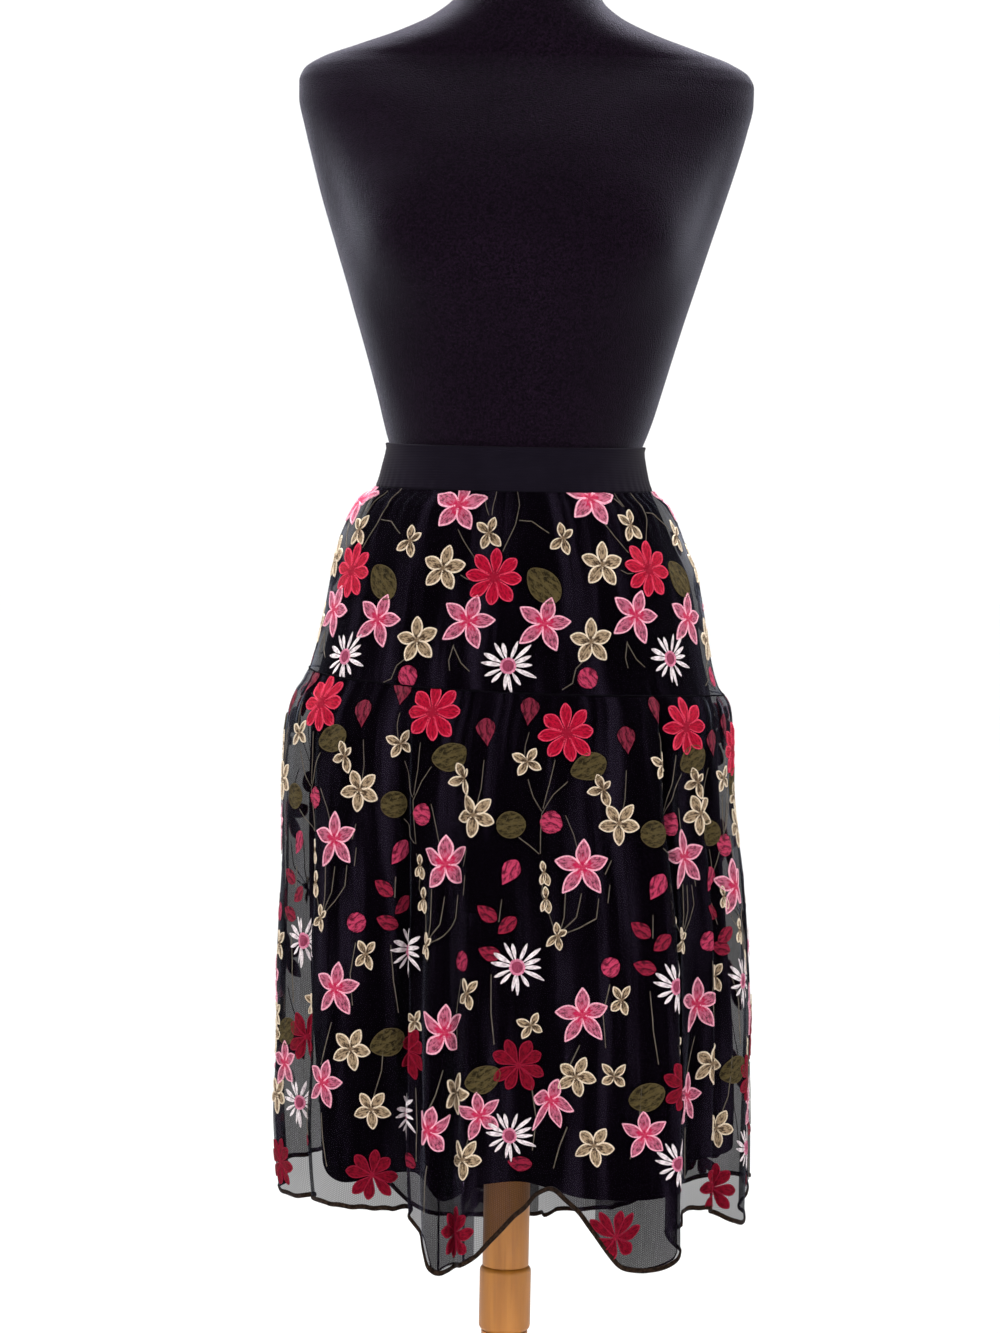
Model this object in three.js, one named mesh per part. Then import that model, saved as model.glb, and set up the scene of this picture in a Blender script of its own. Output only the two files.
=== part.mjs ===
// A two-tier gathered net skirt over a plain lining, on a limbless dress form with a turned
// wooden stand. Millimetres, +Z up. The front faces -Y, the wearer's left is +X, and the
// origin is the middle of the stand's underside.
import * as THREE from 'three';

// Cloth and fit
const CLEARANCE = 0.3; // between neighbouring pieces
const FORM_CLEARANCE = 0.5; // between the waistband and the dress form
const BAND_WALL = 3; // elastic in its casing
const NET_WALL = 1.3;
const LINING_WALL = 1.3;
const LINING_BEHIND_NET = 0.4; // between the two walls under the waistband

// Levels above the floor, at the front centre
const BAND_TOP = 1035;
const BAND_BOTTOM = 996;
const BAND_RISE = 5; // how much the waistband rises from the front centre to the sides
const NECK_TOP = 1506;
const FORM_BOTTOM = 778;

// Gathers, counted on one half of the skirt
const GATHERS = 16;
const YOKE_GATHER = 2.2; // height of the waves under the waistband
const YOKE_GATHER_END = 0.75; // the share of the tier's height where they have died away
const TIER_GATHER = 2;
const TIER_GATHER_END = 0.3;

// Meshing
const PANEL_COLUMNS = 64;
const LINING_COLUMNS = 36;
const BAND_COLUMNS = 72;
const FORM_COLUMNS = 44;
const ARC_SAMPLES = 480;
const TURNED_SEGMENTS = 32;
const YOKE_ROWS = [0, 0.06, 0.18, 0.42, 0.7, 1];
const TIER_ROWS = [0, 0.04, 0.1, 0.2, 0.34, 0.5, 0.66, 0.82, 1];
const LINING_ROWS = [0, 0.05, 0.14, 0.27, 0.5, 0.76, 1];
const BAND_ROWS = [0, 0.33, 0.67, 1];
const WAIST_LEVELS = [1003, 1017, 1030, 1041]; // more rings of the form, where the band sits

// Stand
const POLE_RADIUS = 21;
const HUB_RADIUS = 23.3;
const HUB_TOP = 297;
const HUB_BOTTOM = 238;
const HUB_ROUND = 5;
const BASE_RADIUS = 190;
const BASE_HEIGHT = 24;
const BASE_ROUND = 6;

const DEG = Math.PI / 180;
const SIDE = 90 * DEG;

// Level sections of the dress form: z, half width, sideways shift, depth to front and back.
const FORM = [
  { z: 778, half: 138, shift: -5, front: 98, back: 104 },
  { z: 782, half: 149, shift: -5, front: 109, back: 115 },
  { z: 792, half: 157, shift: -5, front: 116, back: 123 },
  { z: 815, half: 161, shift: -4.5, front: 120, back: 128 },
  { z: 850, half: 160, shift: -4, front: 121, back: 128 },
  { z: 890, half: 154, shift: -4, front: 117, back: 122 },
  { z: 925, half: 145, shift: -4.5, front: 110, back: 113 },
  { z: 960, half: 133, shift: -5, front: 101, back: 103 },
  { z: 996, half: 122, shift: -5.5, front: 93, back: 94 },
  { z: 1010, half: 118, shift: -5.7, front: 90, back: 90 },
  { z: 1024, half: 115, shift: -5.5, front: 87.5, back: 87 },
  { z: 1036, half: 112.8, shift: -5, front: 86, back: 85 },
  { z: 1046, half: 116, shift: -4.5, front: 87.5, back: 85 },
  { z: 1062, half: 121, shift: -3.7, front: 89, back: 83 },
  { z: 1080, half: 126, shift: -3.2, front: 90, back: 80 },
  { z: 1115, half: 136, shift: -3, front: 96, back: 80 },
  { z: 1150, half: 146.5, shift: -3, front: 104, back: 82 },
  { z: 1185, half: 157.5, shift: -2.7, front: 112, back: 85 },
  { z: 1220, half: 169, shift: -2.6, front: 116, back: 88 },
  { z: 1255, half: 180.5, shift: -2.4, front: 114, back: 91 },
  { z: 1290, half: 190.5, shift: -1.6, front: 104, back: 91 },
  { z: 1320, half: 198, shift: -1.2, front: 90, back: 88 },
  { z: 1346, half: 203, shift: -1.2, front: 76, back: 82 },
  { z: 1360, half: 203, shift: -1.2, front: 68, back: 78 },
  { z: 1370, half: 199, shift: -1.5, front: 63, back: 74 },
  { z: 1380, half: 184, shift: -2, front: 60, back: 72 },
  { z: 1391, half: 154, shift: -2, front: 60, back: 73 },
  { z: 1405, half: 115, shift: -2, front: 59, back: 72 },
  { z: 1420, half: 84, shift: -2, front: 58, back: 68 },
  { z: 1436, half: 66, shift: -1, front: 56, back: 62 },
  { z: 1455, half: 59, shift: 0, front: 54, back: 58 },
  { z: 1498, half: 56, shift: 0, front: 53, back: 55 },
  { z: 1504, half: 53.5, shift: 0, front: 51, back: 52.5 },
  { z: 1506, half: 50, shift: 0, front: 47, back: 49 },
];

// How square the form's sections are: rounded boxes at the shoulders, plain ovals elsewhere.
const SHOULDER = [
  { z: 1150, power: 1 },
  { z: 1290, power: 0.9 },
  { z: 1360, power: 0.8 },
  { z: 1405, power: 0.9 },
  { z: 1440, power: 1 },
];

// Level sections of the net's outside, from the hem up: z, reach to each side and depth.
const NET = [
  { z: 290, left: 200, right: 216, front: 186, back: 192 },
  { z: 357, left: 203, right: 217, front: 184, back: 190 },
  { z: 407, left: 209, right: 217, front: 182, back: 188 },
  { z: 444, left: 211, right: 216, front: 180, back: 186 },
  { z: 517, left: 209, right: 216, front: 177, back: 183 },
  { z: 589, left: 210, right: 213, front: 173, back: 179 },
  { z: 662, left: 208, right: 206, front: 168, back: 174 },
  { z: 735, left: 209, right: 196, front: 163, back: 169 },
  { z: 775, left: 207, right: 195, front: 159, back: 165 },
  { z: 800, left: 203, right: 193, front: 154, back: 160 },
  { z: 816, left: 197, right: 188, front: 148, back: 154 },
  { z: 826, left: 190, right: 181, front: 144, back: 149 },
  { z: 850, left: 182, right: 174, front: 140, back: 144 },
  { z: 890, left: 173, right: 167, front: 134, back: 137 },
  { z: 925, left: 167, right: 160, front: 127, back: 129 },
  { z: 952, left: 161, right: 149, front: 119, back: 121 },
  { z: 972, left: 153, right: 141, front: 112, back: 114 },
  { z: 986, left: 145, right: 132, front: 106, back: 108 },
  { z: 1010, left: 126, right: 114, front: 92, back: 93 },
];

// Level sections of the lining's outside.
const LINING = [
  { z: 380, left: 167, right: 203, front: 153, back: 158 },
  { z: 444, left: 171, right: 204, front: 151, back: 157 },
  { z: 517, left: 178, right: 201, front: 150, back: 155 },
  { z: 589, left: 182, right: 195, front: 148, back: 153 },
  { z: 662, left: 184, right: 189, front: 145, back: 150 },
  { z: 735, left: 185, right: 184, front: 142, back: 148 },
  { z: 790, left: 184, right: 180, front: 139, back: 145 },
  { z: 826, left: 180, right: 173, front: 135, back: 141 },
  { z: 850, left: 174, right: 167, front: 131, back: 136 },
  { z: 890, left: 166, right: 160, front: 126, back: 130 },
  { z: 925, left: 158, right: 152, front: 118, back: 121 },
  { z: 952, left: 148, right: 139, front: 109, back: 111 },
  { z: 972, left: 139, right: 130, front: 102, back: 103 },
  { z: 1010, left: 124, right: 113, front: 90, back: 91 },
];

// Height of the seam between the tiers, and of the two hems, around the skirt. The angle
// is in degrees from the front centre, growing towards +X.
const SEAM = [
  { angle: -90, z: 838 },
  { angle: -50, z: 831 },
  { angle: 0, z: 824 },
  { angle: 60, z: 821 },
  { angle: 90, z: 819 },
  { angle: 180, z: 827 },
  { angle: 270, z: 838 },
];
const NET_HEM = [
  { angle: -90, z: 372 },
  { angle: -70, z: 372 },
  { angle: -54, z: 379 },
  { angle: -29, z: 381 },
  { angle: -22, z: 366 },
  { angle: -14, z: 337 },
  { angle: -7, z: 350 },
  { angle: 0, z: 378 },
  { angle: 9, z: 405 },
  { angle: 16, z: 386 },
  { angle: 28, z: 335 },
  { angle: 36, z: 343 },
  { angle: 46, z: 376 },
  { angle: 53, z: 376 },
  { angle: 68, z: 350 },
  { angle: 80, z: 362 },
  { angle: 90, z: 368 },
  { angle: 110, z: 366 },
  { angle: 130, z: 346 },
  { angle: 150, z: 312 },
  { angle: 165, z: 304 },
  { angle: 180, z: 291 },
  { angle: 202, z: 301 },
  { angle: 218, z: 340 },
  { angle: 240, z: 380 },
  { angle: 270, z: 372 },
];
const LINING_HEM = [
  { angle: -90, z: 394 },
  { angle: -61, z: 388 },
  { angle: -28, z: 410 },
  { angle: -19, z: 389 },
  { angle: -8, z: 404 },
  { angle: 2, z: 407 },
  { angle: 20, z: 392 },
  { angle: 42, z: 388 },
  { angle: 47, z: 393 },
  { angle: 54, z: 414 },
  { angle: 90, z: 411 },
  { angle: 140, z: 398 },
  { angle: 190, z: 394 },
  { angle: 230, z: 402 },
  { angle: 270, z: 394 },
];

// Hanging folds: where the ridge is, how far it stands out at the hem, how far its flanks
// reach to each side in degrees, and the height where it starts. A trough has a minus.
const NET_FOLDS = [
  { angle: -74, out: 6, before: 12, after: 12, from: 780 },
  { angle: -46, out: 10, before: 16, after: 15, from: 760 },
  { angle: -25, out: -10, before: 10, after: 6, from: 800 },
  { angle: -16, out: 22, before: 6, after: 17, from: 800 },
  { angle: 12, out: -9, before: 10, after: 9, from: 760 },
  { angle: 36, out: 22, before: 16, after: 9, from: 790 },
  { angle: 49, out: -12, before: 7, after: 7, from: 800 },
  { angle: 66, out: 9, before: 10, after: 13, from: 770 },
  { angle: 104, out: 12, before: 13, after: 12, from: 780 },
  { angle: 124, out: -10, before: 11, after: 9, from: 770 },
  { angle: 142, out: 18, before: 14, after: 10, from: 790 },
  { angle: 160, out: -9, before: 10, after: 9, from: 750 },
  { angle: 181, out: 20, before: 13, after: 16, from: 790 },
  { angle: 203, out: -11, before: 9, after: 9, from: 770 },
  { angle: 220, out: 17, before: 10, after: 15, from: 780 },
  { angle: 242, out: -8, before: 10, after: 9, from: 760 },
  { angle: 256, out: 8, before: 10, after: 8, from: 770 },
];
const LINING_FOLDS = [
  { angle: -62, out: 4, before: 22, after: 18, from: 760 },
  { angle: -19, out: 7, before: 13, after: 12, from: 740 },
  { angle: 4, out: -4, before: 12, after: 12, from: 700 },
  { angle: 34, out: 6, before: 20, after: 14, from: 760 },
  { angle: 58, out: -5, before: 12, after: 16, from: 700 },
  { angle: 120, out: 6, before: 20, after: 22, from: 740 },
  { angle: 180, out: 7, before: 26, after: 20, from: 760 },
  { angle: 232, out: 6, before: 18, after: 22, from: 740 },
];

// The value of a column at a place in a table, on a smooth line that never overshoots.
function read(table, by, key, at) {
  const last = table.length - 1;
  if (at <= table[0][by]) return table[0][key];
  if (at >= table[last][by]) return table[last][key];
  let i = 0;
  while (table[i + 1][by] < at) i += 1;
  const slope = (k) => (table[k + 1][key] - table[k][key]) / (table[k + 1][by] - table[k][by]);
  const tangent = (k) => {
    if (k === 0) return slope(0);
    if (k === last) return slope(last - 1);
    const a = slope(k - 1);
    const b = slope(k);
    return a * b <= 0 ? 0 : (2 * a * b) / (a + b);
  };
  const step = table[i + 1][by] - table[i][by];
  const u = (at - table[i][by]) / step;
  const rise = table[i + 1][key] - table[i][key];
  const bend = step * (u * (1 - u) * (1 - u) * tangent(i) - u * u * (1 - u) * tangent(i + 1));
  return table[i][key] + rise * u * u * (3 - 2 * u) + bend;
}

const level = (table, key, z) => read(table, 'z', key, z);
const around = (table, angle) => read(table, 'angle', 'z', angle / DEG);

// How far the hanging folds stand out at an angle and a height.
function foldRelief(folds, angle, z) {
  const hem = NET[0].z;
  let sum = 0;
  for (const fold of folds) {
    const off = angle / DEG - fold.angle;
    const reach = off < 0 ? fold.before : fold.after;
    const depth = (fold.from - z) / (fold.from - hem);
    if (Math.abs(off) >= reach || depth <= 0) continue;
    sum += fold.out * 0.5 * (1 + Math.cos((Math.PI * off) / reach)) * Math.sqrt(depth);
  }
  return sum;
}

// A point of an oval section, moved out along its normal. A power under 1 squares the oval.
function ovalPoint(section, angle, z, out) {
  const side = Math.sin(angle) > 0 ? section.right : section.left;
  const depth = Math.cos(angle) > 0 ? section.front : section.back;
  const power = section.power ?? 1;
  const bent = (value, to) => Math.sign(value) * Math.abs(value) ** to;
  const x = side * bent(Math.sin(angle), power);
  const y = -depth * bent(Math.cos(angle), power);
  const nx = bent(Math.sin(angle), 2 - power) / side;
  const ny = -bent(Math.cos(angle), 2 - power) / depth;
  const size = Math.hypot(nx, ny);
  return new THREE.Vector3(x + (out * nx) / size, y + (out * ny) / size, z);
}

const sidesOf = (table, z) => ({
  left: level(table, 'left', z),
  right: level(table, 'right', z),
  front: level(table, 'front', z),
  back: level(table, 'back', z),
});

function formSection(z) {
  const half = level(FORM, 'half', z);
  const shift = level(FORM, 'shift', z);
  return {
    left: half - shift,
    right: half + shift,
    front: level(FORM, 'front', z),
    back: level(FORM, 'back', z),
    power: level(SHOULDER, 'power', z),
  };
}

const bandRise = (angle) => BAND_RISE * (1 - Math.cos(angle));
const bandTop = (angle) => BAND_TOP + bandRise(angle);
const bandBottom = (angle) => BAND_BOTTOM + bandRise(angle);
const bandOut = FORM_CLEARANCE + BAND_WALL;
const bandPoint = (angle, z) => ovalPoint(formSection(z), angle, z, bandOut);

// The net and the lining both start at the waistband and ease into their own sections.
const EASE = 14; // the height over which they leave the waistband's outline
function underBand(table, angle, z, inset) {
  const share = THREE.MathUtils.clamp((bandBottom(angle) - z) / EASE, 0, 1);
  const held = ovalPoint(formSection(z), angle, z, bandOut - inset);
  return held.lerp(ovalPoint(sidesOf(table, z), angle, z, 0), share * share * (3 - 2 * share));
}

const netPoint = (angle, z) => {
  const out = foldRelief(NET_FOLDS, angle, z);
  if (out !== 0) return ovalPoint(sidesOf(NET, z), angle, z, out);
  return underBand(NET, angle, z, 0);
};

const liningPoint = (angle, z) => {
  const out = foldRelief(LINING_FOLDS, angle, z);
  if (out !== 0) return ovalPoint(sidesOf(LINING, z), angle, z, out);
  return underBand(LINING, angle, z, NET_WALL + LINING_BEHIND_NET);
};

// One cut panel, from side seam to side seam. Its columns keep equal distances along the
// cloth, so a fold's steep flank takes as much cloth as it does on the real skirt.
function panelRow(panel, from, t) {
  const at = (angle) => {
    const z = THREE.MathUtils.lerp(panel.top(angle), panel.bottom(angle), t);
    return panel.point(angle, z);
  };
  const angles = [];
  const lengths = [0];
  let previous = null;
  for (let k = 0; k <= ARC_SAMPLES; k += 1) {
    const angle = from + (2 * SIDE * k) / ARC_SAMPLES;
    const point = at(angle);
    if (previous) {
      const step = Math.hypot(point.x - previous.x, point.y - previous.y);
      lengths.push(lengths[k - 1] + step);
    }
    angles.push(angle);
    previous = point;
  }
  const whole = lengths[ARC_SAMPLES];
  const angleAt = (share) => {
    const want = CLEARANCE / 2 + share * (whole - CLEARANCE);
    let k = 0;
    while (k < ARC_SAMPLES - 1 && lengths[k + 1] < want) k += 1;
    const u = (want - lengths[k]) / (lengths[k + 1] - lengths[k]);
    return THREE.MathUtils.lerp(angles[k], angles[k + 1], u);
  };
  const outer = [];
  const inner = [];
  for (let i = 0; i <= panel.columns; i += 1) {
    const share = i / panel.columns;
    const place = (s) => {
      const wave = 0.5 * panel.gather(t) * (1 - Math.cos(2 * Math.PI * GATHERS * s));
      const point = at(angleAt(s));
      return { point, wave };
    };
    const nudge = 0.25 / panel.columns;
    const a = place(Math.max(0, share - nudge)).point;
    const b = place(Math.min(1, share + nudge)).point;
    const normal = new THREE.Vector3(b.y - a.y, a.x - b.x, 0).normalize();
    const here = place(share);
    const skin = here.point.clone().addScaledVector(normal, here.wave);
    outer.push(skin);
    inner.push(skin.clone().addScaledVector(normal, -panel.wall));
  }
  return { outer, inner };
}

// A closed body from two facing grids of points: an outside and an inside, both running
// from the top row down and counter-clockwise as seen from above.
function shell(outer, inner, ring) {
  const positions = [];
  const indices = [];
  const columns = outer[0].length;
  const rows = outer.length;
  for (const grid of [outer, inner]) {
    for (const row of grid) {
      for (const point of row) positions.push(point.x, point.y, point.z);
    }
  }
  const out = (j, i) => j * columns + (i % columns);
  const inn = (j, i) => rows * columns + out(j, i);
  const quad = (a, b, c, d) => indices.push(a, d, c, a, c, b);
  const spans = ring ? columns : columns - 1;
  for (let i = 0; i < spans; i += 1) {
    for (let j = 0; j < rows - 1; j += 1) {
      quad(out(j, i), out(j, i + 1), out(j + 1, i + 1), out(j + 1, i));
      quad(inn(j, i + 1), inn(j, i), inn(j + 1, i), inn(j + 1, i + 1));
    }
    quad(inn(0, i), inn(0, i + 1), out(0, i + 1), out(0, i));
    quad(out(rows - 1, i), out(rows - 1, i + 1), inn(rows - 1, i + 1), inn(rows - 1, i));
  }
  if (!ring) {
    const end = columns - 1;
    for (let j = 0; j < rows - 1; j += 1) {
      quad(inn(j, 0), out(j, 0), out(j + 1, 0), inn(j + 1, 0));
      quad(out(j, end), inn(j, end), inn(j + 1, end), out(j + 1, end));
    }
  }
  return geometry(positions, indices);
}

function geometry(positions, indices) {
  const made = new THREE.BufferGeometry();
  made.setAttribute('position', new THREE.Float32BufferAttribute(positions, 3));
  made.setIndex(indices);
  made.computeVertexNormals();
  return made;
}

function panelGeometry(panel, from) {
  const rows = panel.rows.map((t) => panelRow(panel, from, t));
  return shell(rows.map((row) => row.outer), rows.map((row) => row.inner), false);
}

function waistbandGeometry() {
  const outer = [];
  const inner = [];
  for (const t of BAND_ROWS) {
    const ring = [];
    const lining = [];
    for (let i = 0; i < BAND_COLUMNS; i += 1) {
      const angle = (2 * Math.PI * i) / BAND_COLUMNS;
      const z = THREE.MathUtils.lerp(bandTop(angle), bandBottom(angle), t);
      ring.push(bandPoint(angle, z));
      lining.push(ovalPoint(formSection(z), angle, z, FORM_CLEARANCE));
    }
    outer.push(ring);
    inner.push(lining);
  }
  return shell(outer, inner, true);
}

// The dress form's body: level rings closed by a flat disc at the neck and underneath.
function formGeometry() {
  const positions = [];
  const indices = [];
  const rings = [...FORM.map((row) => row.z), ...WAIST_LEVELS].sort((a, b) => b - a);
  for (const z of rings) {
    const section = formSection(z);
    for (let i = 0; i < FORM_COLUMNS; i += 1) {
      const point = ovalPoint(section, (2 * Math.PI * i) / FORM_COLUMNS, z, 0);
      positions.push(point.x, point.y, point.z);
    }
  }
  const at = (j, i) => j * FORM_COLUMNS + (i % FORM_COLUMNS);
  for (let j = 0; j < rings.length - 1; j += 1) {
    for (let i = 0; i < FORM_COLUMNS; i += 1) {
      indices.push(at(j, i), at(j + 1, i), at(j + 1, i + 1));
      indices.push(at(j, i), at(j + 1, i + 1), at(j, i + 1));
    }
  }
  const top = positions.length / 3;
  positions.push(0, 0, NECK_TOP, 0, 0, FORM_BOTTOM);
  for (let i = 0; i < FORM_COLUMNS; i += 1) {
    indices.push(top, at(0, i), at(0, i + 1));
    indices.push(top + 1, at(rings.length - 1, i + 1), at(rings.length - 1, i));
  }
  return geometry(positions, indices);
}

// A turned piece of wood: a cylinder between two levels, with its edges rounded.
function turnedGeometry(radius, bottom, top, lower, upper) {
  const profile = [new THREE.Vector2(0, bottom)];
  const corner = (z, round, turn) => {
    if (round === 0) {
      profile.push(new THREE.Vector2(radius, z));
      return;
    }
    const steps = 4;
    for (let k = 0; k <= steps; k += 1) {
      const angle = turn + (SIDE * k) / steps;
      const centre = turn < 0 ? z + round : z - round;
      const x = radius - round + round * Math.cos(angle);
      profile.push(new THREE.Vector2(x, centre + round * Math.sin(angle)));
    }
  };
  corner(bottom, lower, -SIDE);
  corner(top, upper, 0);
  profile.push(new THREE.Vector2(0, top));
  const made = new THREE.LatheGeometry(profile, TURNED_SEGMENTS);
  made.rotateX(SIDE);
  return made;
}

const fade = (t, end) => Math.max(0, 1 - t / end);
const yoke = {
  point: netPoint,
  top: (angle) => bandBottom(angle) - CLEARANCE,
  bottom: (angle) => around(SEAM, angle) + CLEARANCE / 2,
  gather: (t) => YOKE_GATHER * fade(t, YOKE_GATHER_END),
  wall: NET_WALL,
  rows: YOKE_ROWS,
  columns: PANEL_COLUMNS,
};
const tier = {
  point: netPoint,
  top: (angle) => around(SEAM, angle) - CLEARANCE / 2,
  bottom: (angle) => around(NET_HEM, angle),
  gather: (t) => TIER_GATHER * fade(t, TIER_GATHER_END),
  wall: NET_WALL,
  rows: TIER_ROWS,
  columns: PANEL_COLUMNS,
};
const lining = {
  point: liningPoint,
  top: (angle) => bandBottom(angle) - CLEARANCE,
  bottom: (angle) => around(LINING_HEM, angle),
  gather: () => 0,
  wall: LINING_WALL,
  rows: LINING_ROWS,
  columns: LINING_COLUMNS,
};

const jersey = new THREE.MeshStandardMaterial({ color: 0x1d1c22, roughness: 0.9, metalness: 0 });
const elastic = new THREE.MeshStandardMaterial({ color: 0x1a1a1e, roughness: 0.85, metalness: 0 });
const net = new THREE.MeshStandardMaterial({ color: 0x2b2626, roughness: 0.75, metalness: 0 });
const slip = new THREE.MeshStandardMaterial({ color: 0x0c0b0f, roughness: 0.7, metalness: 0 });
const maple = new THREE.MeshStandardMaterial({ color: 0xc8964f, roughness: 0.45, metalness: 0 });

const skirt = new THREE.Group();
function add(name, shape, material) {
  const mesh = new THREE.Mesh(shape, material);
  mesh.name = name;
  skirt.add(mesh);
}

add('waistband', waistbandGeometry(), elastic);
for (const [name, panel, material] of [
  ['yoke', yoke, net],
  ['tier', tier, net],
  ['lining', lining, slip],
]) {
  add(`${name}_front`, panelGeometry(panel, -SIDE), material);
  add(`${name}_back`, panelGeometry(panel, SIDE), material);
}
add('form', formGeometry(), jersey);
add('pole', turnedGeometry(POLE_RADIUS, HUB_TOP + CLEARANCE, FORM_BOTTOM - CLEARANCE, 0, 0), maple);
add('hub', turnedGeometry(HUB_RADIUS, HUB_BOTTOM, HUB_TOP, HUB_ROUND, HUB_ROUND), maple);
add('post', turnedGeometry(POLE_RADIUS, BASE_HEIGHT + CLEARANCE, HUB_BOTTOM - CLEARANCE, 0, 0), maple);
add('base', turnedGeometry(BASE_RADIUS, 0, BASE_HEIGHT, 0, BASE_ROUND), maple);

export default skirt;
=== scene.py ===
"""A two-tier gathered net skirt with scattered embroidered flowers over a plain lining,
on a limbless dress form with a turned wooden stand. Tables are in millimetres and degrees.
Angles go round the form from its front, 0, over the picture's right, 90, to its back, 180."""

import math

import bpy
import numpy as np
from mathutils import Euler, Matrix, Vector


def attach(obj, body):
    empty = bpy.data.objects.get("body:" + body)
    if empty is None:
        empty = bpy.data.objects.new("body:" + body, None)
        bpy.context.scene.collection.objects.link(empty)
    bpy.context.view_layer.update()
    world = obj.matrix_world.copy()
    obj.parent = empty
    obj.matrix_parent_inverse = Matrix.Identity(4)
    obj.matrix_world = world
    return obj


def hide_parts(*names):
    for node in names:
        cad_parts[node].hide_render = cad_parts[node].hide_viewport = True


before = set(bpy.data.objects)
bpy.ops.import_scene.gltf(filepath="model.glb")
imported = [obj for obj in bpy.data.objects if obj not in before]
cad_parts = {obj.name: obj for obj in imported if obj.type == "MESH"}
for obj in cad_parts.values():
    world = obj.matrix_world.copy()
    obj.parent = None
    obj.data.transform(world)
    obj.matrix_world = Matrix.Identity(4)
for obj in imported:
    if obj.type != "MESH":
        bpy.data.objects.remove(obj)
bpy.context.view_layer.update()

MM = 0.001
DEG = math.pi / 180
rng = np.random.default_rng(7)
scene = bpy.context.scene

# The camera, worked out from the photograph's own perspective.
FOCAL_PIXELS, FRAME_HEIGHT, SENSOR = 2800, 1333, 36.0
CAMERA_PLACE = (-0.0152, -2.52, 0.9455)
CAMERA_DOWN, CAMERA_LEAN = 2.38, 1.08
camera_data = bpy.data.cameras.new("camera")
camera_data.lens = FOCAL_PIXELS / FRAME_HEIGHT * SENSOR
camera_data.sensor_width = SENSOR
camera = bpy.data.objects.new("camera", camera_data)
camera.location = CAMERA_PLACE
looking_down = Euler((math.radians(90 - CAMERA_DOWN), 0, 0)).to_matrix()
leaning = Matrix.Rotation(math.radians(CAMERA_LEAN), 3, "Z")
camera.rotation_euler = (looking_down @ leaning).to_euler()
scene.collection.objects.link(camera)
scene.camera = camera

# ---- sizes and outlines

# The waistband's edges at the front, and half of how much higher they are at the back.
BAND_TOP, BAND_BOTTOM, BAND_RISE = 1035, 996, 5
# How far the net stands off the form under the waistband, how much less the lining does, the
# height over which both ease out from there, and how far their upper edges are tucked in.
BAND_OUT, LINING_INSET, EASE, TUCK = 3.5, 1.7, 14, 0.3
# The height at which the hanging folds reach their full depth.
HEM_LEVEL = 290

# Oval sections of the form: height, half the width, shift to the right, reach to the front
# and to the back.
FORM = [
    (778, 138, -5, 98, 104), (782, 149, -5, 109, 115), (792, 157, -5, 116, 123),
    (815, 161, -4.5, 120, 128), (850, 160, -4, 121, 128), (890, 154, -4, 117, 122),
    (925, 145, -4.5, 110, 113), (960, 133, -5, 101, 103), (996, 122, -5.5, 93, 94),
    (1010, 118, -5.7, 90, 90), (1024, 115, -5.5, 87.5, 87), (1036, 112.8, -5, 86, 85),
    (1046, 116, -4.5, 87.5, 85), (1062, 121, -3.7, 89, 83), (1080, 126, -3.2, 90, 80),
    (1115, 136, -3, 96, 80), (1150, 146.5, -3, 104, 82), (1185, 157.5, -2.7, 112, 85),
    (1220, 169, -2.6, 116, 88), (1255, 180.5, -2.4, 114, 91), (1290, 190.5, -1.6, 104, 91),
    (1320, 198, -1.2, 90, 88), (1346, 203, -1.2, 76, 82), (1360, 203, -1.2, 68, 78),
    (1370, 199, -1.5, 63, 74), (1380, 184, -2, 60, 72), (1391, 154, -2, 60, 73),
    (1405, 115, -2, 59, 72), (1420, 84, -2, 58, 68), (1436, 66, -1, 56, 62),
    (1455, 59, 0, 54, 58), (1498, 56, 0, 53, 55), (1504, 53.5, 0, 51, 52.5),
    (1506, 50, 0, 47, 49),
]
# The power of the form's ovals by height. Under 1 it squares them.
SHOULDER = [(1150, 1), (1290, 0.9), (1360, 0.8), (1405, 0.9), (1440, 1)]
# Oval sections of the hanging cloth: height, reach to the left, right, front and back.
NET = [
    (290, 200, 216, 186, 192), (357, 203, 217, 184, 190), (407, 209, 217, 182, 188),
    (444, 211, 216, 180, 186), (517, 209, 216, 177, 183), (589, 210, 213, 173, 179),
    (662, 208, 206, 168, 174), (735, 209, 196, 163, 169), (775, 207, 195, 159, 165),
    (800, 203, 193, 154, 160), (816, 197, 188, 148, 154), (826, 190, 181, 144, 149),
    (850, 182, 174, 140, 144), (890, 173, 167, 134, 137), (925, 167, 160, 127, 129),
    (952, 161, 149, 119, 121), (972, 153, 141, 112, 114), (986, 145, 132, 106, 108),
    (1010, 126, 114, 92, 93),
]
LINING = [
    (380, 167, 203, 153, 158), (444, 171, 204, 151, 157), (517, 178, 201, 150, 155),
    (589, 182, 195, 148, 153), (662, 184, 189, 145, 150), (735, 185, 184, 142, 148),
    (790, 184, 180, 139, 145), (826, 180, 173, 135, 141), (850, 174, 167, 131, 136),
    (890, 166, 160, 126, 130), (925, 158, 152, 118, 121), (952, 148, 139, 109, 111),
    (972, 139, 130, 102, 103), (1010, 124, 113, 90, 91),
]
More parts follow.
